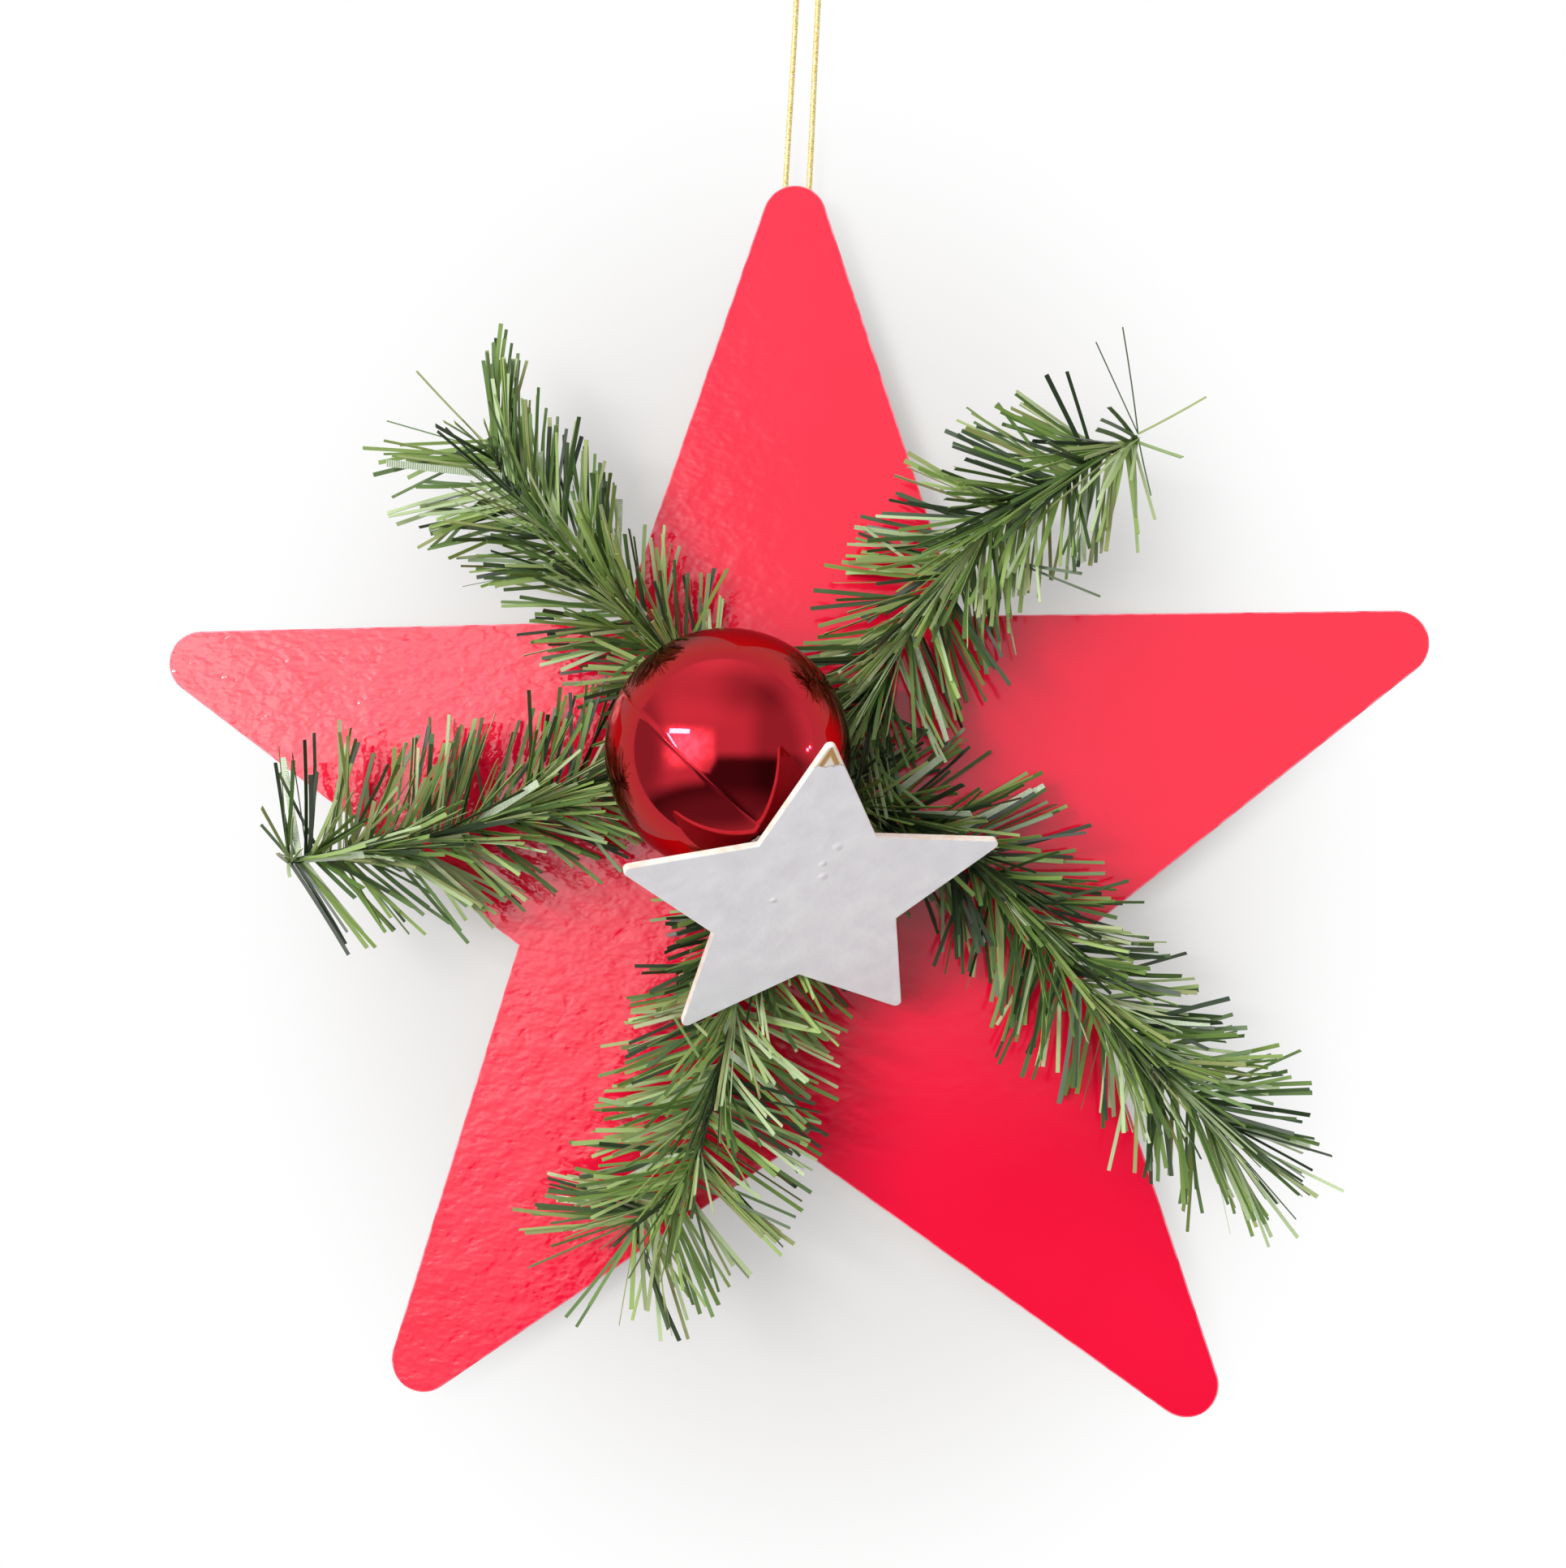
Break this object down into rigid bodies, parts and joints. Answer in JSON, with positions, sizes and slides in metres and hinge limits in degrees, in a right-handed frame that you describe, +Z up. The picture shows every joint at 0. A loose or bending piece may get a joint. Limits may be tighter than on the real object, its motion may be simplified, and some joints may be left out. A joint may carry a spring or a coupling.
{
  "type": "star ornament",
  "caption": "Flat five-pointed star with artificial fir garland, a round bauble and a small star glued on its front, hanging from a loop of cord.",
  "frame": {"origin": "inside of the cord loop's highest point, where a hook carries it", "axes": "+Z up along the hanging ornament, -Y out of its decorated front, +X to the right as seen from the front"},
  "size_m": [0.3346, 0.0807, 0.3901],
  "materials": {
    "board_core": "bare thin fibreboard",
    "red_film": "glossy red film",
    "garland_wire": "twisted soft wire",
    "pvc_needles": "cut PVC film, half matt",
    "bauble_lacquer": "metallised red lacquer, mirror bright",
    "cap_metal": "bright pressed sheet",
    "ring_metal": "bright spring wire",
    "white_paint": "matt white paint",
    "hot_glue": "translucent hot-melt glue",
    "gold_cord": "metallic gold braid"
  },
  "bodies": {
    "root": {"star_board": "board_core", "star_front_sheet": "red_film", "lower_garland_wire": "garland_wire", "lower_garland_left_needles": "pvc_needles", "lower_garland_right_needles": "pvc_needles", "upper_right_garland_wire": "garland_wire", "upper_right_garland_needles": "pvc_needles", "upper_left_garland_wire": "garland_wire", "upper_left_garland_needles": "pvc_needles", "centre_glue": "hot_glue", "bauble_shell": "bauble_lacquer", "bauble_cap": "cap_metal", "bauble_ring": "ring_metal", "small_star": "white_paint", "small_star_glue": "hot_glue", "small_star_foot_glue": "hot_glue", "hanging_cord": "gold_cord", "cord_glue": "hot_glue"}
  },
  "joints": []
}
